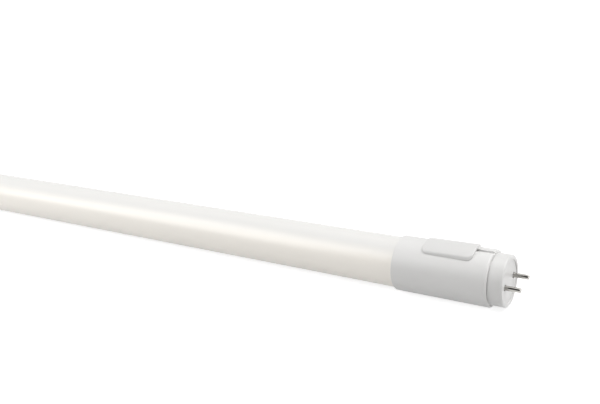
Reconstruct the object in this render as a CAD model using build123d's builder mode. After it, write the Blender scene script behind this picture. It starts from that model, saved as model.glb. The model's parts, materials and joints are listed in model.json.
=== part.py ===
from build123d import *
from math import sqrt
import os

# A 600 mm class LED tube lamp with two-pin ends, in millimetres.
# The lamp lies along X on its two end housings, with the lock buttons on top (+Z).
# The origin is on the floor under the middle of the lamp. The near end is at +X.
# Depth means distance in from the face of an end cap, along the lamp.
# Height means distance up from the lamp's own axis.

# Lamp
face_to_face = 589.8
glass_radius = 13.0
glass_wall = 0.8
glass_fit = 0.05

# Contact pins
pin_spacing = 12.7
pin_radius = 1.175
pin_length = 7.1
shank_side = 1.6
shank_tail = 4.0

# End housing
housing_wall = 1.05
housing_length = 48.5
shoulder = 1.1
lip_thickness = 2.0
socket_depth = 15.0
guide_width = 8.0
guide_drop = 0.65

# Toothed lock ring on the cap's neck
ring_band = 1.9
ring_thickness = 3.0
ring_clearance = 0.3
notch_count = 20
notch_clearance = 0.15

# Turning end cap
cap_step = 0.25
cap_skirt = 7.1
cap_edge = 0.9
cap_rim = 2.35
cap_recess_depth = 0.5
cap_end_play = 0.15
neck_fit = 0.05
key_step = 0.2
key_sides = 6

# Lock slider
button_setback = 15.8
button_length = 26.2
button_base_width = 15.3
button_top_width = 14.2
button_rise_front = 1.35
button_rise_back = 0.87
button_corner = 2.6
button_edge_round = 0.5
button_sink = 0.6
slider_fit = 0.1
lock_travel = 5.0
channel_width = 2.0
channel_depth = 0.9
channel_length = 29.4
seat_depth = 0.35
tongue_setback = 1.5
tongue_overlap = 0.25
stem_length = 6.0
stem_setback = 5.0
foot_width = 6.8
foot_length = 14.0
foot_lead = 2.0
foot_thickness = 0.9
blade_width = 1.4
blade_bite = 2.4

# LED strip
strip_width = 10.0
strip_thickness = 1.0
strip_fit = 0.05
strip_overlap = 13.5
led_count = 36
led_length = 3.5
led_width = 2.8
led_height = 0.7
led_margin = 4.0
glue_width = 5.0
glue_end_margin = 12.0

# Driver board over the strip, its rails and its wires
board_clearance = 1.27
board_thickness = 1.2
board_height = -2.0
board_margin = 1.0
rail_width = 0.6
rail_thickness = 1.2
lead_radius = 0.5
lead_inset = 2.5
link_thickness = 0.5
link_height = 3.0
link_margin = 1.5
header_side = 0.64
header_spacing = 5.0
header_inset = 2.0

# Parts on the driver board, as length along the lamp, width and height
part_gap = 0.8
fuse_radius = 1.4
fuse_length = 7.0
fuse_lift = 0.5
fuse_leg = 0.6
fuse_leg_span = 9.0
rectifier_size = (6.4, 5.0, 2.4)
rectifier_leg = 1.0
film_size = (10.0, 4.0, 8.0)
chip_size = (4.9, 3.9, 1.5)
chip_leg = 0.45
leg_thickness = 0.25
leg_reach = 1.05
core_size = (9.6, 4.8, 8.4)
core_limb = 2.2
coil_size = (5.4, 8.2, 4.6)
bulk_radius = 4.0
bulk_length = 10.0

# A turned round is two cones that meet at the middle of its arc, this share of its
# radius from the corner.
facet = 1 - sqrt(0.5)

# Places worked out from the sizes above
bore_radius = glass_radius + glass_fit
housing_radius = bore_radius + housing_wall
axis_height = housing_radius
cap_radius = housing_radius - shoulder - cap_step
cap_recess_radius = cap_radius - cap_rim
housing_front = cap_skirt + cap_end_play
housing_back = housing_front + housing_length
socket_front = housing_back - socket_depth
cavity_front = housing_front + lip_thickness
guide_height = bore_radius - guide_drop
ring_radius = guide_height - ring_clearance
neck_radius = ring_radius - ring_band
key_radius = neck_radius - key_step
lip_radius = neck_radius + neck_fit
ring_front = cavity_front + cap_end_play
ring_back = ring_front + ring_thickness
shank_end = ring_back + shank_tail
glass_inner_radius = glass_radius - glass_wall
glass_length = face_to_face - 2 * socket_front
channel_floor = housing_radius - channel_depth
seat_floor = housing_radius - seat_depth
channel_back = housing_front + channel_length
button_back = button_setback + button_length
seat_back = button_back + slider_fit
button_base_height = sqrt(housing_radius**2 - (button_base_width / 2) ** 2)
button_top_front = housing_radius + button_rise_front
tongue_front = button_setback + tongue_setback
tongue_back = channel_back - slider_fit
tongue_top = housing_radius + tongue_overlap
button_top_back = housing_radius + button_rise_back
button_edge_height = sqrt(button_top_back**2 - (button_top_width / 2) ** 2)
tongue_width = channel_width - 2 * slider_fit
foot_top = guide_height - slider_fit
foot_bottom = foot_top - foot_thickness
stem_front = button_setback + stem_setback
stem_back = stem_front + stem_length
slot_front = stem_front - lock_travel - slider_fit
slot_back = stem_back + slider_fit
foot_front = stem_front - foot_lead
foot_back = foot_front + foot_length
blade_tip = ring_back - blade_bite + lock_travel
notch_floor = foot_bottom - notch_clearance
notch_width = blade_width + 2 * notch_clearance
strip_bottom = -sqrt(glass_inner_radius**2 - (strip_width / 2) ** 2) + strip_fit
strip_top = strip_bottom + strip_thickness
strip_front = housing_back - strip_overlap
strip_length = face_to_face - 2 * strip_front
board_front = shank_end + part_gap
board_bottom = board_height - board_thickness
board_width = 2 * (sqrt(glass_inner_radius**2 - board_bottom**2) - board_clearance)
board_side = board_width / 2 - board_margin
lead_landing = board_front + lead_inset
fuse_place = lead_landing + lead_radius + part_gap + fuse_radius
row_front = fuse_place + fuse_radius + part_gap
film_place = (row_front + film_size[0] / 2, board_side - film_size[1] / 2)
rectifier_place = (row_front + rectifier_size[0] / 2, leg_reach + rectifier_size[1] / 2 - board_side)
core_front = row_front + max(film_size[0], rectifier_size[0]) + part_gap
chip_place = (core_front + core_size[0] / 2, leg_reach + chip_size[1] / 2 - board_side)
chip_inner_side = chip_place[1] + chip_size[1] / 2 + leg_reach
core_place = (core_front + core_size[0] / 2, chip_inner_side + part_gap + coil_size[1] / 2)
bulk_front = core_front + core_size[0] + part_gap
header_place = bulk_front + bulk_length + part_gap + header_side / 2
board_back = header_place + header_inset
rail_reach = (bore_radius + housing_radius) / 2 * sqrt(1 - (board_bottom / bore_radius) ** 2)

os.makedirs("parts", exist_ok=True)


# Planes of one end. The end's own frame has its origin at the centre of the cap's
# face, X out along the pins and Z up, so both ends are made by the same functions.
def end_frame(side):
    return Plane(origin=(side * face_to_face / 2, 0, axis_height), x_dir=(side, 0, 0))


# Upright plane along the lamp, for profiles that turn about its axis
def lengthwise(end):
    return Plane(origin=end.origin, x_dir=end.x_dir, z_dir=-end.y_dir)


# Plane across the lamp at a depth, facing out towards the pins
def across(end, depth):
    return Plane(origin=end.origin - end.x_dir * depth, x_dir=end.y_dir, z_dir=end.x_dir)


# Level plane at a height
def level(end, height):
    return end.offset(height)


# Keeps a finished piece under its name
def keep(piece, name):
    piece.part.label = name
    export_step(piece.part, f"parts/{name}.step")


# End housing: a moulded sleeve that is glued over the glass, with a lip at the pin end
# that the cap's neck turns in, and a channel along its crest for the lock slider.
def make_housing(end, name):
    with BuildPart() as housing:
        with BuildSketch(lengthwise(end)):
            with BuildLine():
                Polyline(
                    (-housing_back, bore_radius),
                    (-housing_back, housing_radius),
                    (-housing_front - shoulder, housing_radius),
                    (-housing_front - shoulder * facet, housing_radius - shoulder * facet),
                    (-housing_front, housing_radius - shoulder),
                    (-housing_front, lip_radius),
                    (-cavity_front, lip_radius),
                    (-cavity_front, bore_radius),
                    close=True,
                )
            make_face()
        revolve(axis=Axis(end.origin, end.x_dir))

        # Flat guide under the crest for the slider's foot, and rails for the driver board.
        # Both stop the end of the glass.
        with BuildSketch(across(end, cavity_front)):
            with Locations((0, (guide_height + channel_floor) / 2)):
                Rectangle(guide_width, channel_floor - guide_height)
        extrude(amount=-(socket_front - cavity_front))
        with BuildSketch(across(end, board_front)):
            with Locations((0, board_bottom - rail_thickness / 2)):
                Rectangle(2 * rail_reach, rail_thickness)
                Rectangle(board_width - 2 * rail_width, rail_thickness, mode=Mode.SUBTRACT)
        extrude(amount=-(socket_front - board_front))

        # Channel, its shallower seat under the button's back end, and the stem's slot
        with BuildSketch(level(end, channel_floor)):
            with Locations((-(housing_front + channel_back) / 2, 0)):
                Rectangle(channel_back - housing_front, channel_width)
        extrude(amount=channel_depth, mode=Mode.SUBTRACT)
        with BuildSketch(level(end, seat_floor)):
            with Locations((-(channel_back + seat_back) / 2, 0)):
                Rectangle(seat_back - channel_back, channel_width)
        extrude(amount=seat_depth, mode=Mode.SUBTRACT)
        with BuildSketch(level(end, channel_floor)):
            with Locations((-(slot_front + slot_back) / 2, 0)):
                Rectangle(slot_back - slot_front, channel_width)
        extrude(amount=guide_height - channel_floor, mode=Mode.SUBTRACT)
    keep(housing, f"{name}_housing")


# End cap: skirt, recessed face and the neck that turns in the lip, moulded as one.
# Behind the lip the neck is six-sided, so that the lock ring can't turn on it.
def make_end_cap(end, name):
    with BuildPart() as cap:
        with BuildSketch(lengthwise(end)):
            with BuildLine():
                Polyline(
                    (-cap_recess_depth, 0),
                    (-cap_recess_depth, cap_recess_radius),
                    (0, cap_recess_radius),
                    (0, cap_radius - cap_edge),
                    (-cap_edge * facet, cap_radius - cap_edge * facet),
                    (-cap_edge, cap_radius),
                    (-cap_skirt, cap_radius),
                    (-cap_skirt, neck_radius),
                    (-ring_front, neck_radius),
                    (-ring_front, 0),
                    close=True,
                )
            make_face()
        revolve(axis=Axis(end.origin, end.x_dir))
        with BuildSketch(across(end, ring_front)):
            RegularPolygon(key_radius, key_sides)
        extrude(amount=-ring_thickness)
        with BuildSketch(across(end, cap_recess_depth)):
            with GridLocations(pin_spacing, 1, 2, 1):
                Rectangle(shank_side, shank_side)
        extrude(amount=-(ring_back - cap_recess_depth), mode=Mode.SUBTRACT)
    keep(cap, f"{name}_end_cap")


# Lock ring: fixed on the cap's neck behind the lip, with a notch for each lock angle
def make_lock_ring(end, name):
    with BuildPart() as ring:
        with BuildSketch(across(end, ring_back)):
            Circle(ring_radius)
            with PolarLocations(notch_floor, notch_count, start_angle=90):
                Rectangle(ring_radius, notch_width, align=(Align.MIN, Align.CENTER), mode=Mode.SUBTRACT)
            RegularPolygon(key_radius, key_sides, mode=Mode.SUBTRACT)
        extrude(amount=ring_thickness)
    keep(ring, f"{name}_lock_ring")


# Contact pins: a round pin outside, on a square shank that is pressed through the cap
def make_pins(end, name):
    for pin_name, across_place in (("front", -end.y_dir.Y), ("back", end.y_dir.Y)):
        with BuildPart() as pin:
            with BuildSketch(across(end, cap_recess_depth)):
                with Locations((across_place * pin_spacing / 2, 0)):
                    Circle(pin_radius)
            extrude(amount=pin_length + cap_recess_depth)
            with BuildSketch(across(end, cap_recess_depth)):
                with Locations((across_place * pin_spacing / 2, 0)):
                    Rectangle(shank_side, shank_side)
            extrude(amount=-(shank_end - cap_recess_depth))
        keep(pin, f"{name}_{pin_name}_pin")


# Lock slider: the button saddles the housing, its tongue runs in the channel, and a stem
# through the slot carries the foot and the blade that enters a notch of the ring.
def make_lock_slider(end, name):
    with BuildPart() as slider:
        # Button: sides that lean in, a crowned top with rounded edges that follows the
        # housing at its back end, and a rise towards the pins
        rise = end.x_dir * button_length + end.z_dir * (button_rise_front - button_rise_back)
        back_foot = end.origin - end.x_dir * button_back
        with BuildSketch(Plane(origin=back_foot, x_dir=end.y_dir, z_dir=rise)) as section:
            with BuildLine():
                Polyline(
                    (button_top_width / 2, button_edge_height),
                    (button_base_width / 2, button_base_height),
                    (button_base_width / 2, button_base_height - button_sink),
                    (-button_base_width / 2, button_base_height - button_sink),
                    (-button_base_width / 2, button_base_height),
                    (-button_top_width / 2, button_edge_height),
                )
                ThreePointArc(
                    (-button_top_width / 2, button_edge_height),
                    (0, button_top_back),
                    (button_top_width / 2, button_edge_height),
                )
            make_face()
            fillet(section.vertices().sort_by(Axis.Y)[-2:], button_edge_round)
        extrude(amount=button_length, both=True)
        with BuildSketch(level(end, button_base_height - button_sink)):
            with Locations((-(button_setback + button_back) / 2, 0)):
                RectangleRounded(button_length, button_base_width, button_corner)
        extrude(amount=button_top_front - button_base_height + button_sink, mode=Mode.INTERSECT)

        # Hollow that rides over the housing
        with BuildSketch(across(end, button_back)):
            Circle(housing_radius + slider_fit)
        extrude(amount=button_length, mode=Mode.SUBTRACT)

        # Tongue in the channel, and its shallower back part on the seat
        with BuildSketch(lengthwise(end)):
            with BuildLine():
                Polyline(
                    (-tongue_front, tongue_top),
                    (-tongue_front, channel_floor + slider_fit),
                    (-tongue_back, channel_floor + slider_fit),
                    (-tongue_back, seat_floor + slider_fit),
                    (-button_back, seat_floor + slider_fit),
                    (-button_back, tongue_top),
                    close=True,
                )
            make_face()
        extrude(amount=tongue_width / 2, both=True)

        # Stem through the slot, then the foot and the blade under the guide
        with BuildSketch(level(end, foot_bottom)):
            with Locations((-(stem_front + stem_back) / 2, 0)):
                Rectangle(stem_length, tongue_width)
        extrude(amount=tongue_top - foot_bottom)
        with BuildSketch(level(end, foot_bottom)):
            with Locations((-(foot_front + foot_back) / 2, 0)):
                Rectangle(foot_length, foot_width)
            with Locations((-(blade_tip + foot_back) / 2, 0)):
                Rectangle(foot_back - blade_tip, blade_width)
        extrude(amount=foot_thickness)
    keep(slider, f"{name}_lock_slider")


# Glass tube, open-ended, held in both housings
def make_glass_tube():
    with BuildPart() as glass:
        with BuildSketch(across(lamp_middle, glass_length / 2)):
            Circle(glass_radius)
            Circle(glass_inner_radius, mode=Mode.SUBTRACT)
        extrude(amount=glass_length)
    keep(glass, "glass_tube")


# LED strip along the inside of the glass, the silicone bead under it and the LEDs on it
def make_led_strip(middle):
    with BuildPart() as strip:
        with BuildSketch(across(middle, strip_length / 2)):
            with Locations((0, (strip_bottom + strip_top) / 2)):
                Rectangle(strip_width, strip_thickness)
        extrude(amount=strip_length)
    keep(strip, "led_board")

    bead_length = glass_length - 2 * glue_end_margin
    with BuildPart() as bead:
        with BuildSketch(across(middle, bead_length / 2)):
            Circle(glass_inner_radius)
            with Locations((0, strip_bottom)):
                Rectangle(
                    glue_width, glass_inner_radius, align=(Align.CENTER, Align.MAX), mode=Mode.INTERSECT
                )
        extrude(amount=bead_length)
    keep(bead, "board_glue")

    lit_length = face_to_face - 2 * (housing_back + led_margin)
    with BuildPart() as chips:
        with BuildSketch(level(middle, strip_top)):
            with GridLocations(lit_length / (led_count - 1), 1, led_count, 1):
                Rectangle(led_length, led_width)
        extrude(amount=led_height)
    keep(chips, "led_chips")


# Driver board, held on the rails of the near housing
def make_driver_board(end):
    with BuildPart() as board:
        with BuildSketch(level(end, board_height)):
            with Locations((-(board_front + board_back) / 2, 0)):
                Rectangle(board_back - board_front, board_width)
        extrude(amount=-board_thickness)
    keep(board, "driver_board")


# Leads from the live pins to the driver board
def make_pin_leads(end):
    with BuildPart() as leads:
        for pin_place in (-pin_spacing / 2, pin_spacing / 2):
            with BuildLine(lengthwise(end).offset(-pin_place)) as route:
                Polyline((-shank_end, 0), (-lead_landing, 0), (-lead_landing, board_height))
            with BuildSketch(across(end, shank_end)):
                with Locations((pin_place, 0)):
                    Circle(lead_radius)
            sweep(path=route.line, transition=Transition.RIGHT)
    keep(leads, "near_pin_leads")


# Header pins that join the driver board to the LED strip
def make_strip_header(end):
    with BuildPart() as header:
        with BuildSketch(level(end, strip_top)):
            with Locations((-header_place, 0)):
                with GridLocations(1, header_spacing, 1, 2):
                    Rectangle(header_side, header_side)
        extrude(amount=board_bottom - strip_top)
    keep(header, "strip_header")


# Stamped link that is pressed over the shanks of the two dead pins
def make_pin_link(end):
    with BuildPart() as link:
        with BuildSketch(across(end, shank_end)):
            Rectangle(pin_spacing + shank_side + 2 * link_margin, link_height)
            with GridLocations(pin_spacing, 1, 2, 1):
                Rectangle(shank_side, shank_side, mode=Mode.SUBTRACT)
        extrude(amount=link_thickness)
    keep(link, "far_pin_link")


# Fuse resistor: a round body across the board on two legs
def make_fuse_resistor(end):
    body_height = board_height + fuse_radius + fuse_lift
    with BuildPart() as fuse:
        with BuildSketch(lengthwise(end)):
            with Locations((-fuse_place, body_height)):
                Circle(fuse_radius)
        extrude(amount=fuse_length / 2, both=True)
        with BuildSketch(across(end, fuse_place)):
            with Locations((0, (body_height + board_height) / 2)):
                Rectangle(fuse_leg_span, body_height - board_height)
            with Locations((0, board_height)):
                Rectangle(
                    fuse_leg_span - 2 * fuse_leg,
                    2 * (body_height - board_height - fuse_leg),
                    mode=Mode.SUBTRACT,
                )
        extrude(amount=fuse_leg / 2, both=True)
    keep(fuse, "fuse_resistor")


# Chip or rectifier: a moulded body with flat legs that reach out on both sides
def make_legged_part(end, name, size, place, legs_per_side, leg_width):
    with BuildPart() as chip:
        with BuildSketch(level(end, board_height + leg_thickness)):
            with Locations((-place[0], place[1])):
                Rectangle(size[0], size[1])
        extrude(amount=size[2])
        with BuildSketch(level(end, board_height)):
            with Locations((-place[0], place[1])):
                with GridLocations(size[0] / legs_per_side, 1, legs_per_side, 1):
                    Rectangle(leg_width, size[1] + 2 * leg_reach)
        extrude(amount=leg_thickness)
    keep(chip, name)


# Film capacitor: a potted box
def make_film_capacitor(end):
    with BuildPart() as film:
        with BuildSketch(level(end, board_height)):
            with Locations((-film_place[0], film_place[1])):
                Rectangle(film_size[0], film_size[1])
        extrude(amount=film_size[2])
    keep(film, "film_capacitor")


# Transformer: a ferrite core with two windows, and the wound coil on its middle limb
def make_transformer(end):
    middle = (core_place[1], board_height + core_size[2] / 2)
    with BuildPart() as core:
        with BuildSketch(across(end, core_place[0])):
            with Locations(middle):
                Rectangle(core_size[1], core_size[2])
        extrude(amount=core_size[0] / 2, both=True)
        with BuildSketch(across(end, core_place[0])):
            with Locations(middle):
                Rectangle(core_size[1], coil_size[2])
                Rectangle(core_size[1], core_limb, mode=Mode.SUBTRACT)
        extrude(amount=coil_size[0] / 2, both=True, mode=Mode.SUBTRACT)
    keep(core, "transformer_core")

    with BuildPart() as coil:
        with BuildSketch(across(end, core_place[0])):
            with Locations(middle):
                Rectangle(coil_size[1], coil_size[2])
                Rectangle(core_size[1], core_limb, mode=Mode.SUBTRACT)
        extrude(amount=coil_size[0] / 2, both=True)
    keep(coil, "transformer_coil")


# Bulk capacitor: a can that lies along the board
def make_bulk_capacitor(end):
    with BuildPart() as bulk:
        with BuildSketch(across(end, bulk_front)):
            with Locations((0, board_height + bulk_radius)):
                Circle(bulk_radius)
        extrude(amount=-bulk_length)
    keep(bulk, "bulk_capacitor")


for side, end_name in ((1, "near"), (-1, "far")):
    end = end_frame(side)
    make_housing(end, end_name)
    make_end_cap(end, end_name)
    make_lock_ring(end, end_name)
    make_pins(end, end_name)
    make_lock_slider(end, end_name)

lamp_middle = Plane(origin=(0, 0, axis_height))
make_glass_tube()
make_led_strip(lamp_middle)

driver_end = end_frame(1)
make_driver_board(driver_end)
make_pin_leads(driver_end)
make_strip_header(driver_end)
make_fuse_resistor(driver_end)
make_legged_part(driver_end, "bridge_rectifier", rectifier_size, rectifier_place, 2, rectifier_leg)
make_legged_part(driver_end, "driver_chip", chip_size, chip_place, 4, chip_leg)
make_film_capacitor(driver_end)
make_transformer(driver_end)
make_bulk_capacitor(driver_end)
make_pin_link(end_frame(-1))
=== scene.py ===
import json
from math import asin, copysign, cos, pi, radians, sin, sqrt, tan

import bmesh
import bpy
from bpy.props import FloatProperty, FloatVectorProperty, IntProperty, PointerProperty
from bpy.types import Operator, Panel, PropertyGroup
from mathutils import Matrix, Vector


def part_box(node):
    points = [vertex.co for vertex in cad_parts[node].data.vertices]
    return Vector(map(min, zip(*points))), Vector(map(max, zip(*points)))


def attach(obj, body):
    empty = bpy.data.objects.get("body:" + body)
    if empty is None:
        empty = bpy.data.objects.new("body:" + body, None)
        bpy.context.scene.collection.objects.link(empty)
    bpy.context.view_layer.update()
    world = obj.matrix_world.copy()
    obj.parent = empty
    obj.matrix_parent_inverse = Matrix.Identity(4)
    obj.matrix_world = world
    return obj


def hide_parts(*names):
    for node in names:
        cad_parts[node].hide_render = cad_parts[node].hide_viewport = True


bl_info = {
    "name": "LED tube lamp",
    "version": (1, 0, 0),
    "blender": (4, 5, 0),
    "location": "View3D > Sidebar > LED Tube",
    "description": "Dresses the packed LED tube lamp and sets its stage",
    "category": "Object",
}

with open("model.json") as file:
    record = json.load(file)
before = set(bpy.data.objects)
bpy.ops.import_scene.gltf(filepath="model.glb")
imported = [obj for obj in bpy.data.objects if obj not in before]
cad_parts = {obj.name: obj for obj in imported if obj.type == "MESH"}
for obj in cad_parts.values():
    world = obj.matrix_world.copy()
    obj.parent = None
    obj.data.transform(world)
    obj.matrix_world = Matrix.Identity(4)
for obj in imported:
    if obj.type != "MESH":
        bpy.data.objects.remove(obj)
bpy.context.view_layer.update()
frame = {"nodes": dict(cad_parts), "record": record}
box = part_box

# The lamp lies along X. Depth is distance in from the face of an end cap, height is
# distance up from the lamp's own axis. The far end is the near end turned half a turn.
ENDS = (("near", 1), ("far", -1))
FACE = box("near_end_cap")[1].x
AXIS = (box("glass_tube")[0].z + box("glass_tube")[1].z) / 2
HOUSING_RADIUS = box("near_housing")[1].y
HOUSING_FRONT = FACE - box("near_housing")[1].x
HOUSING_BACK = FACE - box("near_housing")[0].x
GLASS_RADIUS = box("glass_tube")[1].y
GLASS_END = FACE - box("glass_tube")[1].x
CAP_RADIUS = box("near_end_cap")[1].y
PIN_TIP = FACE - box("near_back_pin")[1].x
PIN_RADIUS = (box("near_back_pin")[1].z - box("near_back_pin")[0].z) / 2
PIN_PLACE = (box("near_back_pin")[0].y + box("near_back_pin")[1].y) / 2
SHANK_END = FACE - box("near_back_pin")[0].x
BUTTON_BACK = FACE - box("near_lock_slider")[0].x
BLADE_TIP = FACE - box("near_lock_slider")[1].x
RING_FRONT = FACE - box("near_lock_ring")[1].x
RING_BACK = FACE - box("near_lock_ring")[0].x

MM = 0.001
# Points closer than this are one, edges that bend more than SHARP stay sharp, and faces
# that bend less than FLAT are joined.
MERGE = 1e-6
SHARP = radians(32)
FLAT = radians(1)
# How far a block reaches into the next one, and a cutting shape past what it cuts.
PAST = 1.0 * MM
# Joined blocks differ by multiples of this, since faces in one plane don't join cleanly.
PART = 0.01 * MM

# Steps along a housing's skin: on its rounds, on half of the channel's floor, over the
# mouth of the channel, and from there round to the bottom. The floor's last point stays
# short of the channel's wall.
ROUND_STEPS = 10
FLOOR_STEPS = 8
FLOOR_SHARE = 0.96
MOUTH_STEPS = 6
SKIN_STEPS = 120
# Steps along the rounds and circles of the turned pieces.
TURNED_STEPS = 8
CAP_SIDES = 192
PIN_SIDES = 64
GROOVE_SIDES = 48
# Steps on the button: round a corner, along a side, from its middle to its edge, and up
# the round of its top edge.
CORNER_STEPS = 12
SIDE_STEPS = 16
SPREAD_STEPS = 12
EDGE_STEPS = 8
LEAST_CORNER = 0.05 * MM
# Share of the button's height that the round of its top edge may take.
EDGE_SHARE = 0.85

# Where most of a noise texture's values lie.
NOISE_LOW, NOISE_HIGH = 0.3, 0.7

# The camera, and each soft lamp with its power setting, its size and its place from the
# middle of the view.
SENSOR_WIDTH = 36.0
CLIP_START = 0.01
CAMERA_PLACE = (0.39463, -0.30281, 0.20432)
CAMERA_RIGHT = Vector((0.84135, 0.52557, -0.12611))
CAMERA_UP = Vector((-0.11814, 0.40651, 0.90597))
VIEW_MIDDLE = Vector((0.2, 0, AXIS))
LAMPS = (
    ("top_lamp", "top_power", (1.5, 1.3), (0.5, 0.42, 1.42)),
    ("front_lamp", "front_power", (0.9, 1.0), (-0.912, -0.78, 0.78)),
    ("side_lamp", "side_power", (0.7, 0.5), (1.3, -0.1, 0.2)),
)
# The dark card's place, and the point between the near pins that it faces.
CARD_PLACE = (0.205, -0.315, 0.26)
PINS_PLACE = Vector((0.29, 0, AXIS))

# The finish of each slot, once it is made.
FINISHES = {}


def length(name, description, default):
    return FloatProperty(
        name=name, description=description, default=default, unit="LENGTH", precision=5
    )


def angle(name, description, degrees):
    return FloatProperty(
        name=name, description=description, default=radians(degrees), subtype="ANGLE"
    )


def power(name, description, default):
    return FloatProperty(name=name, description=description, default=default, unit="POWER")


def colour(name, description, default):
    return FloatVectorProperty(
        name=name,
        description=description,
        default=default,
        subtype="COLOR",
        size=3,
        min=0.0,
        max=1.0,
    )


def share(name, description, default):
    return FloatProperty(
        name=name, description=description, default=default, min=0.0, max=1.0, subtype="FACTOR"
    )


class GlassSettings(PropertyGroup):
    wall: length("Wall", "Thickness of the glass", 0.8 * MM)
    end_round: length("End round", "Round that the cut ends are melted to", 0.35 * MM)
    sides: IntProperty(
        name="Sides", description="Flat sides of the tube's mesh", default=288, min=24
    )
    milk: colour("Milk", "Diffusing coat over the crest and at the back", (0.76, 0.752, 0.733))
    # The band along the front is partly the yellowish tint of the LED strip seen through the glass
    # and partly painted light: it is much lighter than the milk, standing in for light that passes
    # through the milky glass to its front and lower front, and its upper edge is placed so that
    # this painted light runs on evenly into the highlight.
    strip_tint_and_painted_light: colour("Cream", "Diffusing coat in the dense band along the front", (0.95, 0.912, 0.848))
    band_top: angle("Band top", "Height over level of the band's upper edge", 47)
    band_blur: angle("Band blur", "How far the upper edge fades to each side", 19)
    band_foot: angle("Band foot", "Height over level where the band starts to fade", -42)
    band_fade: angle("Band fade", "How far below its foot the band is gone", 50)
    gloss: share("Gloss", "Roughness of the outer skin", 0.24)


class HousingSettings(PropertyGroup):
    wall: length("Wall", "Thickness over the glass", 1.05 * MM)
    shoulder: length("Shoulder", "Round at the pin end", 1.1 * MM)
    back_round: length("Back round", "Round at the glass end", 0.25 * MM)
    lip: length("Lip", "Thickness of the lip that the cap turns in", 2.0 * MM)
    lip_radius: length("Lip radius", "Radius of the hole in the lip", 10.25 * MM)
    lip_round: length("Lip round", "Round at the lip's hole", 0.2 * MM)
    guide_height: length("Guide height", "Height of the flat guide under the crest", 12.4 * MM)
    channel_width: length("Channel width", "Width of the slider's channel", 2.0 * MM)
    channel_depth: length("Channel depth", "Depth of the channel at the crest", 0.9 * MM)
    channel_back: length("Channel back", "Depth where the channel ends", 36.65 * MM)
    seat_depth: length("Seat depth", "Depth of the seat under the button's back", 0.35 * MM)
    seat_back: length("Seat back", "Depth where the seat ends", 42.1 * MM)
    edge_round: length("Edge round", "Round on the channel's edges", 0.2 * MM)
    slot_front: length("Slot front", "Depth where the stem's slot starts", 15.7 * MM)
    slot_back: length("Slot back", "Depth where the stem's slot ends", 26.9 * MM)
    slot_width: length("Slot width", "Width of the stem's slot", 1.96 * MM)
    slot_round: length("Slot round", "Round in the slot's corners", 0.4 * MM)
    plastic: colour("Plastic", "Colour of the moulded housing", (0.71, 0.705, 0.695))
    gloss: share("Gloss", "Roughness of the moulded skin", 0.42)


class CapSettings(PropertyGroup):
    skirt: length("Skirt", "Length of the skirt outside the housing", 7.21 * MM)
    skirt_round: length("Skirt round", "Round at the skirt's back edge", 0.12 * MM)
    edge_round: length("Edge round", "Round at the face", 0.9 * MM)
    rim: length("Rim", "Width of the rim round the recess", 2.35 * MM)
    rim_round: length("Rim round", "Round at the rim's inner edge", 0.3 * MM)
    recess: length("Recess", "Depth of the recess", 0.5 * MM)
    recess_round: length("Recess round", "Round in the recess's corner", 0.15 * MM)
    neck_radius: length("Neck radius", "Radius of the neck that turns in the lip", 10.2 * MM)
    key_radius: length("Key radius", "Corner radius of the key under the lock ring", 10.0 * MM)
    key_sides: IntProperty(
        name="Key sides", description="Sides of the key under the lock ring", default=6, min=3
    )
    groove_width: length("Groove width", "Gap in the plastic round each pin", 0.4 * MM)
    groove_depth: length("Groove depth", "Depth of the gap round each pin", 1.3 * MM)
    plastic: colour("Plastic", "Colour of the moulded cap", (0.685, 0.68, 0.67))
    gloss: share("Gloss", "Roughness of the moulded skin", 0.36)


class PinSettings(PropertyGroup):
    tip_round: length("Tip round", "Round at the pin's tip", 0.55 * MM)
    dimple: length("Dimple", "Radius and depth of the crimp's dimple in the tip", 0.3 * MM)
    dimple_round: length("Dimple round", "Round at the dimple's edge", 0.08 * MM)
    shank: length("Shank", "Side of the square shank through the cap", 1.6 * MM)
    shank_overlap: length("Shank overlap", "Reach of the shank into the pin", 0.2 * MM)
    metal: colour("Metal", "Colour of the nickel plate", (0.4, 0.39, 0.37))
    gloss: share("Gloss", "Roughness of the plate", 0.16)


class SliderSettings(PropertyGroup):
    setback: length("Setback", "Depth of the button's front", 15.8 * MM)
    base_width: length("Base width", "Width of the button at its foot", 15.3 * MM)
    top_width: length("Top width", "Width of the button at its top", 14.2 * MM)
    top_front: length("Top front", "Height of the crowned top at the button's front", 15.43 * MM)
    top_back: length("Top back", "Height of the crowned top at the button's back", 14.97 * MM)
    corner: length("Corner", "Round of the corners seen from above", 2.6 * MM)
    edge_round: length("Edge round", "Round of the top edge", 0.5 * MM)
    fit: length("Fit", "Gap between the slider and the housing", 0.1 * MM)
    tongue_setback: length("Tongue setback", "Tongue's front behind the button's", 1.5 * MM)
    tongue_overlap: length("Tongue overlap", "Reach of the tongue into the button", 0.25 * MM)
    stem_setback: length("Stem setback", "Stem's front behind the button's", 5.0 * MM)
    stem_length: length("Stem length", "Length of the stem along the lamp", 6.0 * MM)
    foot_lead: length("Foot lead", "Foot's front before the stem's", 2.0 * MM)
    foot_length: length("Foot length", "Length of the foot under the guide", 14.0 * MM)
    foot_width: length("Foot width", "Width of the foot", 6.8 * MM)
    foot_thickness: length("Foot thickness", "Thickness of the foot and blade", 0.9 * MM)
    blade_width: length("Blade width", "Width of the blade that locks the ring", 1.4 * MM)
    plastic: colour("Plastic", "Colour of the moulded slider", (0.665, 0.66, 0.65))
    gloss: share("Gloss", "Roughness of the moulded skin", 0.33)


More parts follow.
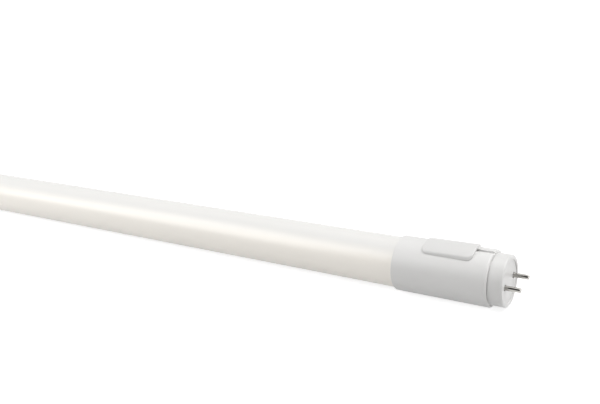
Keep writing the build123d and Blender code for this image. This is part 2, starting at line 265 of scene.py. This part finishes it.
class StageSettings(PropertyGroup):
    floor_size: length("Floor size", "Side of the square floor", 6.0)
    floor_colour: colour("Floor", "Colour of the floor under the lamps", (0.6, 0.6, 0.6))
    floor_lift: share("Floor lift", "White that the floor shows close to the lamp", 0.76)
    lift_start: length("Lift start", "Distance where the floor's white starts to rise", 0.5)
    lift_end: length("Lift end", "Distance where the floor is all white", 1.5)
    card_size: FloatVectorProperty(
        name="Card size",
        description="Sides of the dark card that only reflections show",
        default=(0.34, 0.54),
        size=2,
        unit="LENGTH",
    )
    card_colour: colour("Card", "Colour of the dark card", (0.04, 0.04, 0.04))
    top_power: power("Top lamp", "Power of the lamp overhead", 26.5)
    front_power: power("Front lamp", "Power of the soft lamp in front", 13.6)
    side_power: power("Side lamp", "Power of the lamp past the pins", 5.2)
    room: share("Room", "Even light from all round", 0.0)
    focal: FloatProperty(
        name="Focal length", description="Focal length of the camera", default=45.26, unit="CAMERA"
    )


# Shapes -------------------------------------------------------------------------------


def end_point(side, depth, across, height):
    """Point of one end in the lamp's frame."""
    return Vector((side * (FACE - depth), side * across, AXIS + height))


def soften(corners, steps=6):
    """Path through (x, y, radius) corners, each turned into an arc of its radius."""
    path = []
    for i, (x, y, radius) in enumerate(corners):
        here = Vector((x, y))
        if not radius:
            path.append(here)
            continue
        back = (Vector(corners[i - 1][:2]) - here).normalized()
        ahead = (Vector(corners[(i + 1) % len(corners)][:2]) - here).normalized()
        half = back.angle(ahead) / 2
        centre = here + (back + ahead).normalized() * radius / sin(half)
        start = here + back * radius / tan(half) - centre
        stop = here + ahead * radius / tan(half) - centre
        turn = pi - 2 * half
        for s in range(steps + 1):
            t = s / steps
            path.append(centre + (start * sin((1 - t) * turn) + stop * sin(t * turn)) / sin(turn))
    return path


def loft(rings, closed=False):
    """Skin over rings of equally many points. Ends that meet in a point or line close."""
    count = len(rings[0])
    mesh = bmesh.new()
    for ring in rings:
        for point in ring:
            mesh.verts.new(point)
    mesh.verts.ensure_lookup_table()
    for r in range(len(rings) if closed else len(rings) - 1):
        here, there = r * count, (r + 1) % len(rings) * count
        for i in range(count):
            j = (i + 1) % count
            mesh.faces.new([mesh.verts[k] for k in (here + i, here + j, there + j, there + i)])
    bmesh.ops.remove_doubles(mesh, verts=mesh.verts, dist=MERGE)
    bmesh.ops.recalc_face_normals(mesh, faces=mesh.faces)
    return mesh


def circle_ring(side, depth, radius, sides, across=0.0):
    turns = [2 * pi * i / sides for i in range(sides)]
    return [end_point(side, depth, across + radius * sin(t), radius * cos(t)) for t in turns]


def square_bar(side, front, back, half, across):
    """Square bar along the lamp between two depths."""
    corners = ((-1, -1), (1, -1), (1, 1), (-1, 1))
    return loft([
        [end_point(side, depth, across + y * reach, z * reach) for y, z in corners]
        for depth, reach in ((front, 0), (front, half), (back, half), (back, 0))
    ])


def slab(side, front, back, half_width, low, high, corner):
    """Block between two depths and two heights, with its upright corners rounded."""
    corners = ((front, -half_width), (back, -half_width), (back, half_width), (front, half_width))
    outline = soften([(*place, corner) for place in corners], steps=4)
    rings = [[end_point(side, d, a, h) for d, a in outline] for h in (low, high)]
    middle = ((front + back) / 2, 0)
    rings.insert(0, [end_point(side, *middle, low)] * len(outline))
    rings.append([end_point(side, *middle, high)] * len(outline))
    mesh = loft(rings)
    bmesh.ops.dissolve_limit(mesh, angle_limit=FLAT, verts=mesh.verts, edges=mesh.edges)
    return mesh


def piece(name, mesh):
    """Object from a mesh in the making."""
    data = bpy.data.meshes.new(name)
    mesh.to_mesh(data)
    mesh.free()
    thing = bpy.data.objects.new(name, data)
    bpy.context.scene.collection.objects.link(thing)
    return thing


def combine(thing, mesh, operation):
    """Joins a shape to a piece, or cuts it out of the piece."""
    tool = piece("tool", mesh)
    step = thing.modifiers.new("step", "BOOLEAN")
    step.operation = operation
    step.solver = "EXACT"
    step.object = tool
    seen = thing.evaluated_get(bpy.context.evaluated_depsgraph_get())
    made = bpy.data.meshes.new_from_object(seen)
    thing.modifiers.remove(step)
    spare = thing.data
    thing.data = made
    made.name = spare.name
    bpy.data.meshes.remove(spare)
    tool_data = tool.data
    bpy.data.objects.remove(tool)
    bpy.data.meshes.remove(tool_data)


def dress(thing, material, body, node):
    """Marks the sharp edges of a finished piece, gives it its finish and ties it to the
    frame."""
    mesh = bmesh.new()
    mesh.from_mesh(thing.data)
    bmesh.ops.remove_doubles(mesh, verts=mesh.verts, dist=MERGE)
    for face in mesh.faces:
        face.smooth = True
    for edge in mesh.edges:
        edge.smooth = len(edge.link_faces) == 2 and edge.calc_face_angle(0) < SHARP
    mesh.to_mesh(thing.data)
    mesh.free()
    thing.data.materials.clear()
    thing.data.materials.append(material)
    weighted = thing.modifiers.new("Even shading", "WEIGHTED_NORMAL")
    weighted.keep_sharp = True
    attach(thing, body)
    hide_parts(node)


# Finishes -----------------------------------------------------------------------------


class Nodes:
    """Shorthand for the nodes of a material or world."""

    def __init__(self, owner):
        owner.use_nodes = True
        self.tree = owner.node_tree

    def add(self, kind, settings=None, **sockets):
        node = self.tree.nodes.new(kind)
        for key, value in (settings or {}).items():
            setattr(node, key, value)
        for key, value in sockets.items():
            self.feed(node.inputs[key.replace("_", " ")], value)
        return node

    def feed(self, socket, value):
        if isinstance(value, bpy.types.NodeSocket):
            self.tree.links.new(value, socket)
        else:
            socket.default_value = value

    def math(self, operation, first, second):
        node = self.add("ShaderNodeMath", {"operation": operation})
        for socket, value in zip(node.inputs, (first, second)):
            self.feed(socket, value)
        return node.outputs[0]

    def vector(self, operation, *values, output="Vector"):
        node = self.add("ShaderNodeVectorMath", {"operation": operation})
        for socket, value in zip(node.inputs, values):
            self.feed(socket, value)
        return node.outputs[output]

    def mix(self, factor, low, high):
        """Colour between two colours."""
        node = self.add("ShaderNodeMix", {"data_type": "RGBA"})
        self.feed(node.inputs[0], factor)
        for socket, value in ((node.inputs[6], low), (node.inputs[7], high)):
            self.feed(socket, value if isinstance(value, bpy.types.NodeSocket) else (*value, 1))
        return node.outputs[2]

    def spread(self, value, low, high, to_low=0.0, to_high=1.0, smooth=False):
        """Value carried over from one range to another, and held at its ends."""
        kind = "SMOOTHSTEP" if smooth else "LINEAR"
        node = self.add(
            "ShaderNodeMapRange",
            {"interpolation_type": kind},
            Value=value,
            From_Min=low,
            From_Max=high,
            To_Min=to_low,
            To_Max=to_high,
        )
        return node.outputs[0]

    def seen(self):
        """1 for rays that come from the camera or a shine, 0 for those that carry light."""
        ray = self.add("ShaderNodeLightPath").outputs
        return self.math("MAXIMUM", ray["Is Camera Ray"], ray["Is Glossy Ray"])


class Finish(Nodes):
    """One material, with a shorthand for its shader."""

    def __init__(self, name):
        self.material = bpy.data.materials.new(f"{name}_finish")
        super().__init__(self.material)
        self.shader = self.tree.nodes["Principled BSDF"]
        self.place = self.add("ShaderNodeTexCoord").outputs["Object"]

    def set(self, **sockets):
        for key, value in sockets.items():
            self.feed(self.shader.inputs[key.replace("_", " ")], value)

    def noise(self, scale, detail=3.0, stretch=None):
        place = self.vector("MULTIPLY", self.place, stretch) if stretch else self.place
        node = self.add("ShaderNodeTexNoise", Vector=place, Scale=scale, Detail=detail)
        return node.outputs["Fac"]

    def vary(self, noise, low, high):
        """Noise between two values."""
        return self.spread(noise, NOISE_LOW, NOISE_HIGH, low, high)

    def bump(self, height, depth):
        self.set(Normal=self.add("ShaderNodeBump", Height=height, Distance=depth).outputs[0])


def tone(base, factor):
    return tuple(min(1.0, c * factor) for c in base)


def moulded(name, base, gloss, grain=9000.0, relief=0.004 * MM, uneven=0.012):
    """Moulded plastic: a faint mottle, a satin skin that varies a little, and fine grain."""
    finish = Finish(name)
    mottle = finish.noise(160.0, detail=4.0)
    finish.set(
        Base_Color=finish.mix(mottle, tone(base, 1 - uneven), tone(base, 1 + uneven)),
        Roughness=finish.vary(finish.noise(420.0, detail=2.0), gloss - 0.04, gloss + 0.04),
        IOR=1.5,
    )
    finish.bump(finish.noise(grain, detail=2.0), relief)
    return finish.material


def milky_glass(settings):
    """Clear glass over a milky coat, with a cream band along the front that is partly the LED
    strip's tint seen through the glass and partly painted light that lightens the front.
    """
    finish = Finish("milky_glass")
    place = finish.add("ShaderNodeSeparateXYZ", Vector=finish.place).outputs
    height = finish.math("SUBTRACT", place["Z"], AXIS)
    ahead = finish.math("MULTIPLY", place["Y"], -1.0)
    turn = finish.math("ARCTAN2", height, ahead)
    # Mask of the band: painted light that makes the front and lower front lighter, as light passing
    # through the glass would, over the strip's yellowish tint.
    top, blur, foot = settings.band_top, settings.band_blur, settings.band_foot
    band = finish.math(
        "MULTIPLY",
        finish.spread(turn, top + blur, top - blur, smooth=True),
        finish.spread(turn, foot - settings.band_fade, foot, smooth=True),
    )
    streaks = finish.vary(finish.noise(90.0, detail=5.0, stretch=(0.12, 1, 1)), -0.06, 0.06)
    finish.set(
        Base_Color=finish.mix(finish.math("ADD", band, streaks), settings.milk, settings.strip_tint_and_painted_light),
        Roughness=0.55,
        Coat_Weight=0.55,
        Coat_Roughness=settings.gloss,
        Coat_IOR=1.5,
        Specular_IOR_Level=0.2,
    )
    finish.bump(finish.noise(700.0, detail=2.0, stretch=(0.25, 1, 1)), 0.002 * MM)
    return finish.material


def nickel(settings):
    """Bright nickel plate over drawn brass, with fine lines along the pin."""
    finish = Finish("pin_metal")
    lines = finish.noise(9000.0, detail=2.0, stretch=(0.05, 1, 1))
    dull, bright = tone(settings.metal, 0.92), tone(settings.metal, 1.06)
    finish.set(
        Base_Color=finish.mix(finish.noise(700.0), dull, bright),
        Metallic=1.0,
        Roughness=finish.vary(lines, settings.gloss - 0.04, settings.gloss + 0.05),
    )
    finish.bump(lines, 0.0015 * MM)
    return finish.material


# Finishes of what is inside: colour, roughness, metal, fineness of the grain in 1/m, and
# relief in mm
INSIDE = {
    "ring_plastic": ((0.78, 0.78, 0.76), 0.45, 0.0, 8000.0, 0.004),
    "strip_metal": ((0.84, 0.84, 0.83), 0.4, 0.0, 2500.0, 0.01),
    "silicone": ((0.76, 0.76, 0.74), 0.3, 0.0, 500.0, 0.06),
    "board_laminate": ((0.05, 0.22, 0.09), 0.35, 0.0, 1800.0, 0.02),
    "lead_sleeve": ((0.6, 0.05, 0.04), 0.4, 0.0, 2500.0, 0.01),
    "resistor_lacquer": ((0.14, 0.33, 0.5), 0.3, 0.0, 1500.0, 0.01),
    "chip_resin": ((0.025, 0.025, 0.028), 0.55, 0.0, 9000.0, 0.008),
    "film_case": ((0.68, 0.48, 0.06), 0.3, 0.0, 1500.0, 0.02),
    "ferrite": ((0.06, 0.06, 0.065), 0.6, 0.0, 5000.0, 0.02),
    "winding_wire": ((0.6, 0.25, 0.1), 0.3, 0.9, 3000.0, 0.05),
    "can_sleeve": ((0.04, 0.04, 0.08), 0.35, 0.0, 1200.0, 0.01),
}


def inside_finish(name, base, gloss, metal, grain, relief):
    finish = Finish(name)
    finish.set(
        Base_Color=finish.mix(finish.noise(grain / 4), tone(base, 0.9), tone(base, 1.08)),
        Roughness=finish.vary(finish.noise(grain / 2), gloss - 0.06, gloss + 0.06),
        Metallic=metal,
    )
    finish.bump(finish.noise(grain), relief * MM)
    return finish.material


def led_package():
    """White package with yellow phosphor on the face that looks into the tube."""
    finish = Finish("led_package")
    normal = finish.add("ShaderNodeNewGeometry").outputs["Normal"]
    inward = finish.vector("DOT_PRODUCT", normal, (0, 0, 1), output="Value")
    phosphor = finish.mix(finish.noise(6000.0), (0.9, 0.62, 0.08), (0.95, 0.74, 0.16))
    finish.set(
        Base_Color=finish.mix(finish.spread(inward, 0.8, 0.9), (0.85, 0.85, 0.82), phosphor),
        Roughness=finish.vary(finish.noise(3000.0), 0.25, 0.4),
    )
    finish.bump(finish.noise(4000.0), 0.01 * MM)
    return finish.material


def fixed(slot, make, *values):
    """The finish of that slot, made once."""
    if slot not in FINISHES:
        FINISHES[slot] = make(*values)
    return FINISHES[slot]


# Pieces -------------------------------------------------------------------------------


class LEDTUBE_OT_glass(Operator):
    """Make the milky glass tube"""

    bl_idname = "led_tube.glass"
    bl_label = "Glass tube"

    def execute(self, context):
        s = context.scene.led_glass
        inner, far_end = GLASS_RADIUS - s.wall, 2 * FACE - GLASS_END
        profile = soften([
            (GLASS_END, inner, s.end_round),
            (GLASS_END, GLASS_RADIUS, s.end_round),
            (far_end, GLASS_RADIUS, s.end_round),
            (far_end, inner, s.end_round),
        ])
        rings = [circle_ring(1, depth, radius, s.sides) for depth, radius in profile]
        glass = piece("glass", loft(rings, closed=True))
        dress(glass, fixed("milky_glass", milky_glass, s), "tube", "glass_tube")
        return {"FINISHED"}


def housing_ring(side, depth, radius, floor, s):
    """Ring of a housing's skin at one depth. Above the floor height it is cut flat: the
    outside over the width of the channel, with rounded edges, the inside from wall to wall."""
    half = s.channel_width / 2
    edge = sqrt(radius**2 - half**2)
    low = min(floor, edge)
    wall = edge - low
    bend = min(s.edge_round, wall / 2)
    start = asin((half + bend) / radius)
    right = []
    for i in range(FLOOR_STEPS + 1):
        y = half * FLOOR_SHARE * i / FLOOR_STEPS
        right.append((y, min(floor, sqrt(radius**2 - y * y))))
    if wall > MERGE:
        foot, top = Vector((half, edge - bend)), Vector((half, edge))
        out = Vector((radius * sin(start), radius * cos(start)))
        right += [(half, low), (half, low + (wall - bend) / 2)]
        for i in range(MOUTH_STEPS + 1):
            t = i / MOUTH_STEPS
            right.append(tuple(foot * (1 - t) ** 2 + top * 2 * t * (1 - t) + out * t * t))
    else:
        right += [(half, edge)] * (MOUTH_STEPS + 3)
    for i in range(1, SKIN_STEPS + 1):
        turn = start + (pi - start) * i / SKIN_STEPS
        right.append((radius * sin(turn), radius * cos(turn)))
    if wall <= MERGE:
        right = [(y, min(z, floor)) for y, z in right]
    left = [(-y, z) for y, z in reversed(right[1:-1])]
    return [end_point(side, depth, y, z) for y, z in right + left]


class LEDTUBE_OT_housings(Operator):
    """Make both end housings, with their channels, lips and slots"""

    bl_idname = "led_tube.housings"
    bl_label = "End housings"

    def execute(self, context):
        s = context.scene.led_housing
        for end, side in ENDS:
            outer, bore = HOUSING_RADIUS, HOUSING_RADIUS - s.wall
            floor, seat = outer - s.channel_depth, outer - s.seat_depth
            front, back, cavity = HOUSING_FRONT, HOUSING_BACK, HOUSING_FRONT + s.lip
            skin = soften([
                (back, bore, 0),
                (back, outer, s.back_round),
                (front, outer, s.shoulder),
                (front, s.lip_radius, s.lip_round),
                (cavity, s.lip_radius, s.lip_round),
                (cavity, bore, 0),
            ], ROUND_STEPS)
            # Depth, radius and floor height of each ring. A clear one is cut nowhere.
            clear = 2 * outer
            stations = []
            for i, (depth, radius) in enumerate(skin[:-1]):
                cut = radius > floor and depth < s.channel_back
                stations.append((depth, radius, floor if cut else clear))
                if i == ROUND_STEPS + 1:
                    # The back round ends here, and the seat and channel come next.
                    stations += [
                        (s.seat_back, outer, clear),
                        (s.seat_back, outer, seat),
                        (s.channel_back, outer, seat),
                        (s.channel_back, outer, floor),
                    ]
            stations += [
                (cavity, bore, s.guide_height),
                (GLASS_END, bore, s.guide_height),
                (GLASS_END, bore, clear),
            ]
            rings = [housing_ring(side, *station, s) for station in stations]
            housing = piece(f"{end}_housing_shell", loft(rings, closed=True))
            low, high = s.guide_height - PAST, floor + PAST
            slot = slab(side, s.slot_front, s.slot_back, s.slot_width / 2, low, high, s.slot_round)
            combine(housing, slot, "DIFFERENCE")
            plastic = fixed("housing_plastic", moulded, "housing_plastic", s.plastic, s.gloss)
            dress(housing, plastic, "tube", f"{end}_housing")
        return {"FINISHED"}


class LEDTUBE_OT_caps(Operator):
    """Make both turning end caps, with the recess, the neck and the gaps round the pins"""

    bl_idname = "led_tube.caps"
    bl_label = "End caps"

    def execute(self, context):
        s = context.scene.led_cap
        shank = context.scene.led_pin.shank / 2
        rim = CAP_RADIUS - s.rim
        # Outline of the key under the lock ring: a polygon with its corners on a circle
        half_turn = pi / s.key_sides
        key = []
        for i in range(CAP_SIDES):
            turn = 2 * pi * i / CAP_SIDES
            off = (turn + pi / 2 + half_turn) % (2 * half_turn) - half_turn
            reach = s.key_radius * cos(half_turn) / cos(off)
            key.append((reach * sin(turn), reach * cos(turn)))
        groove, bottom = PIN_RADIUS + s.groove_width, s.recess + s.groove_depth
        gap = ((-PAST, groove), (bottom, groove), (bottom, PIN_RADIUS), (-PAST, PIN_RADIUS))
        for end, side in ENDS:
            skin = soften([
                (s.recess, 0, 0),
                (s.recess, rim, s.recess_round),
                (0, rim, s.rim_round),
                (0, CAP_RADIUS, s.edge_round),
                (s.skirt, CAP_RADIUS, s.skirt_round),
                (s.skirt, s.neck_radius, 0),
                (RING_FRONT, s.neck_radius, 0),
            ], TURNED_STEPS)
            rings = [circle_ring(side, depth, radius, CAP_SIDES) for depth, radius in skin]
            for depth in (RING_FRONT, RING_BACK):
                rings.append([end_point(side, depth, y, z) for y, z in key])
            rings.append([end_point(side, RING_BACK, 0, 0)] * CAP_SIDES)
            cap = piece(f"{end}_cap", loft(rings))
            for place in (-PIN_PLACE, PIN_PLACE):
                rings = [circle_ring(side, d, r, GROOVE_SIDES, place) for d, r in gap]
                combine(cap, loft(rings, closed=True), "DIFFERENCE")
                hole = square_bar(side, s.recess, RING_BACK + PAST, shank, place)
                combine(cap, hole, "DIFFERENCE")
            plastic = fixed("cap_plastic", moulded, "cap_plastic", s.plastic, s.gloss)
            dress(cap, plastic, f"{end}_cap", f"{end}_end_cap")
        return {"FINISHED"}


class LEDTUBE_OT_pins(Operator):
    """Make the four contact pins, with rounded and crimped tips"""

    bl_idname = "led_tube.pins"
    bl_label = "Contact pins"

    def execute(self, context):
        s = context.scene.led_pin
        recess = context.scene.led_cap.recess
        for end, side in ENDS:
            for name, place in (("front", -PIN_PLACE), ("back", PIN_PLACE)):
                skin = soften([
                    (recess, 0, 0),
                    (recess, PIN_RADIUS, 0),
                    (PIN_TIP, PIN_RADIUS, s.tip_round),
                    (PIN_TIP, s.dimple, s.dimple_round),
                    (PIN_TIP + s.dimple, 0, 0),
                ], TURNED_STEPS)
                across = side * place
                rings = [circle_ring(side, d, r, PIN_SIDES, across) for d, r in skin]
                pin = piece(f"{end}_{name}_contact", loft(rings))
                shank_front = recess - s.shank_overlap
                shank = square_bar(side, shank_front, SHANK_END, s.shank / 2, across)
                combine(pin, shank, "UNION")
                metal = fixed("pin_metal", nickel, s)
                dress(pin, metal, f"{end}_cap", f"{end}_{name}_pin")
        return {"FINISHED"}


def button_outline(half_length, half_width, corner, middle):
    """Rounded rectangle seen from above, as (depth, across) points."""
    corner = max(corner, LEAST_CORNER)
    arc = CORNER_STEPS + 1
    points = []
    for i, (x, y) in enumerate(((1, 1), (-1, 1), (-1, -1), (1, -1))):
        centre = Vector((x * (half_length - corner), y * (half_width - corner)))
        for step in range(arc):
            turn = pi / 2 * (i + step / CORNER_STEPS)
            points.append(centre + Vector((cos(turn), sin(turn))) * corner)
    path = []
    for i, point in enumerate(points):
        after = points[(i + 1) % len(points)]
        steps = SIDE_STEPS if i % arc == arc - 1 else 1
        path += [point.lerp(after, step / steps) for step in range(steps)]
    return [(middle + x, y) for x, y in path]


class LEDTUBE_OT_sliders(Operator):
    """Make both lock sliders: button, tongue, stem, foot and blade"""

    bl_idname = "led_tube.sliders"
    bl_label = "Lock sliders"

    def execute(self, context):
        s = context.scene.led_slider
        h = context.scene.led_housing
        long = BUTTON_BACK - s.setback
        middle = (BUTTON_BACK + s.setback) / 2
        saddle = HOUSING_RADIUS + s.fit
        top_half, base_half = s.top_width / 2, s.base_width / 2

        def under(y):
            """Height of the saddle that follows the housing."""
            return sqrt(saddle**2 - y * y)

        def over(depth, y):
            """Height of the crowned top."""
            rise = (BUTTON_BACK - depth) / long * (s.top_front - s.top_back)
            return sqrt(s.top_back**2 - y * y) + rise

        lean = (base_half - top_half) / (over(BUTTON_BACK, top_half) - under(base_half))

        def ring(side, inset, height, shrink=1.0):
            """Ring of the button at a height that is 0 on the saddle, 1 where the round of
            the top edge starts and 2 on the top."""
            points = []
            half_width = top_half - inset
            outline = button_outline(long / 2 - inset, half_width, s.corner - inset, middle)
            spine = long / 2 - top_half
            for depth, y in outline:
                x = depth - middle
                rest = max(-spine, min(spine, x))
                x, y = rest + (x - rest) * shrink, y * shrink
                high = over(middle + x, y)
                low = under(min(abs(y) + lean * (high - under(y)), base_half))
                drop = min(s.edge_round, EDGE_SHARE * (high - low))
                if height <= 1:
                    z = low + (high - drop - low) * height
                else:
                    z = high - drop * (2 - height)
                out = lean * (high - z) * min(1.0, abs(y) / max(half_width, MERGE))
                points.append(end_point(side, middle + x, y + copysign(out, y), z))
            return points

        for end, side in ENDS:
            shares = [i / SPREAD_STEPS for i in range(SPREAD_STEPS)]
            rings = [ring(side, 0, 0, shrink) for shrink in shares]
            rings += [ring(side, 0, height) for height in (0, 0.5, 1)]
            for i in range(1, EDGE_STEPS + 1):
                turn = pi / 2 * i / EDGE_STEPS
                rings.append(ring(side, s.edge_round * (1 - cos(turn)), 1 + sin(turn)))
            rings += [ring(side, s.edge_round, 2, shrink) for shrink in reversed(shares)]
            slider = piece(f"{end}_slider", loft(rings))
            floor = HOUSING_RADIUS - h.channel_depth + s.fit
            seat = HOUSING_RADIUS - h.seat_depth + s.fit
            tongue = h.channel_width / 2 - s.fit
            top = HOUSING_RADIUS + s.tongue_overlap
            foot_top = h.guide_height - s.fit
            foot_low = foot_top - s.foot_thickness
            tongue_front, tongue_back = s.setback + s.tongue_setback, h.channel_back - s.fit
            seat_front, seat_end = h.channel_back - PAST, BUTTON_BACK - s.fit
            stem_front = s.setback + s.stem_setback
            stem_back, stem_low = stem_front + s.stem_length, foot_low + s.fit
            foot_front = stem_front - s.foot_lead
            foot_back = foot_front + s.foot_length
            # Front, back, half width, lowest and highest height, and corner of each block
            for block in (
                (tongue_front, tongue_back, tongue, floor, top, 0.3 * MM),
                (seat_front, seat_end, tongue - 3 * PART, seat, top - 3 * PART, 0.3 * MM),
                (stem_front, stem_back, tongue - 5 * PART, stem_low, top - 6 * PART, 0.2 * MM),
                (foot_front, foot_back, s.foot_width / 2, foot_low, foot_top, 0.4 * MM),
                (BLADE_TIP, foot_front + PAST, s.blade_width / 2, foot_low, foot_top, 0.12 * MM),
            ):
                combine(slider, slab(side, *block), "UNION")
            plastic = fixed("button_plastic", moulded, "button_plastic", s.plastic, s.gloss)
            dress(slider, plastic, f"{end}_lock", f"{end}_lock_slider")
        return {"FINISHED"}


class LEDTUBE_OT_inside(Operator):
    """Give the parts inside the lamp their finishes"""

    bl_idname = "led_tube.inside"
    bl_label = "Parts inside"

    def execute(self, context):
        slots = {row["node"]: row["material_slot"] for row in frame["record"]["subparts"]}
        for name, node in frame["nodes"].items():
            if node.hide_render:
                continue
            slot = slots[name]
            if slot == "led_package":
                material = fixed(slot, led_package)
            elif slot == "pin_metal":
                material = fixed(slot, nickel, context.scene.led_pin)
            else:
                material = fixed(slot, inside_finish, slot, *INSIDE[slot])
            for place in node.material_slots:
                place.material = material
        return {"FINISHED"}


# Stage --------------------------------------------------------------------------------


def aim(thing, place, point, axis):
    """Puts a thing in a place and turns one of its axes to a point."""
    thing.location = place
    thing.rotation_euler = (point - Vector(place)).to_track_quat(axis, "Y").to_euler()


def sheet(name, size):
    """Flat square of that side, with a finish to set."""
    mesh = bmesh.new()
    bmesh.ops.create_grid(mesh, x_segments=1, y_segments=1, size=size / 2)
    thing = piece(name, mesh)
    finish = Finish(name)
    finish.set(Roughness=0.9, Specular_IOR_Level=0.0)
    thing.data.materials.append(finish.material)
    return thing, finish


def lay_floor(s):
    """Floor that shows white to the camera and in shines, and its colour to the light."""
    floor, finish = sheet("floor", s.floor_size)
    away = finish.vector("LENGTH", finish.place, output="Value")
    white = finish.spread(away, s.lift_start, s.lift_end, s.floor_lift, 1.0)
    finish.set(
        Base_Color=(*s.floor_colour, 1),
        Emission_Color=(1, 1, 1, 1),
        Emission_Strength=finish.math("MULTIPLY", finish.seen(), white),
    )


def hang_card(s):
    """Dark card that only reflections show."""
    card, finish = sheet("dark_card", 1.0)
    card.scale = (*s.card_size, 1)
    aim(card, CARD_PLACE, PINS_PLACE, "Z")
    finish.set(Base_Color=(*s.card_colour, 1))
    card.visible_camera = card.visible_diffuse = False
    card.visible_shadow = card.visible_transmission = False


def hang_lamp(name, energy, size, place):
    """Soft rectangular lamp that looks at the middle of the view."""
    data = bpy.data.lights.new(name, "AREA")
    data.shape = "RECTANGLE"
    data.size, data.size_y = size
    data.energy = energy
    light = bpy.data.objects.new(name, data)
    aim(light, VIEW_MIDDLE + Vector(place), VIEW_MIDDLE, "-Z")
    bpy.context.scene.collection.objects.link(light)


def light_room(s):
    """White room that lights the lamp only as much as its setting says."""
    world = bpy.data.worlds.new("room")
    room = Nodes(world)
    room.feed(room.tree.nodes["Background"].inputs["Color"], (1, 1, 1, 1))
    strength = room.spread(room.seen(), 0.0, 1.0, s.room, 1.0)
    room.feed(room.tree.nodes["Background"].inputs["Strength"], strength)
    bpy.context.scene.world = world


def place_camera(s):
    camera = bpy.data.objects.new("camera", bpy.data.cameras.new("camera"))
    camera.data.lens = s.focal
    camera.data.sensor_width = SENSOR_WIDTH
    camera.data.clip_start = CLIP_START
    turn = Matrix((CAMERA_RIGHT, CAMERA_UP, CAMERA_RIGHT.cross(CAMERA_UP))).transposed()
    camera.matrix_world = Matrix.Translation(CAMERA_PLACE) @ turn.to_4x4()
    bpy.context.scene.collection.objects.link(camera)
    bpy.context.scene.camera = camera


class LEDTUBE_OT_stage(Operator):
    """Make the floor, the dark card, the lamps, the room and the camera"""

    bl_idname = "led_tube.stage"
    bl_label = "Stage"

    def execute(self, context):
        s = context.scene.led_stage
        lay_floor(s)
        hang_card(s)
        for name, setting, size, place in LAMPS:
            hang_lamp(name, getattr(s, setting), size, place)
        light_room(s)
        place_camera(s)
        context.scene.view_settings.view_transform = "Standard"
        return {"FINISHED"}


class LEDTUBE_PT_panel(Panel):
    """Button and settings of each step"""

    bl_idname = "LEDTUBE_PT_panel"
    bl_label = "LED Tube"
    bl_space_type = "VIEW_3D"
    bl_region_type = "UI"
    bl_category = "LED Tube"

    def draw(self, context):
        for operator, group in STEPS:
            self.layout.operator(operator.bl_idname)
            if group:
                settings = getattr(context.scene, group)
                for name in settings.__annotations__:
                    self.layout.prop(settings, name)


GROUPS = {
    "led_glass": GlassSettings,
    "led_housing": HousingSettings,
    "led_cap": CapSettings,
    "led_pin": PinSettings,
    "led_slider": SliderSettings,
    "led_stage": StageSettings,
}
STEPS = (
    (LEDTUBE_OT_stage, "led_stage"),
    (LEDTUBE_OT_glass, "led_glass"),
    (LEDTUBE_OT_housings, "led_housing"),
    (LEDTUBE_OT_caps, "led_cap"),
    (LEDTUBE_OT_pins, "led_pin"),
    (LEDTUBE_OT_sliders, "led_slider"),
    (LEDTUBE_OT_inside, None),
)


def register():
    for name, group in GROUPS.items():
        bpy.utils.register_class(group)
        setattr(bpy.types.Scene, name, PointerProperty(type=group))
    for operator, _ in STEPS:
        bpy.utils.register_class(operator)
    bpy.utils.register_class(LEDTUBE_PT_panel)


def unregister():
    bpy.utils.unregister_class(LEDTUBE_PT_panel)
    for operator, _ in reversed(STEPS):
        bpy.utils.unregister_class(operator)
    for name, group in reversed(list(GROUPS.items())):
        delattr(bpy.types.Scene, name)
        bpy.utils.unregister_class(group)


def main():
    register()
    for operator, _ in STEPS:
        category, name = operator.bl_idname.split(".")
        if getattr(getattr(bpy.ops, category), name)() != {"FINISHED"}:
            raise RuntimeError(f"{operator.bl_label} was not made")
    bpy.context.view_layer.update()


if __name__ == "__main__":
    main()
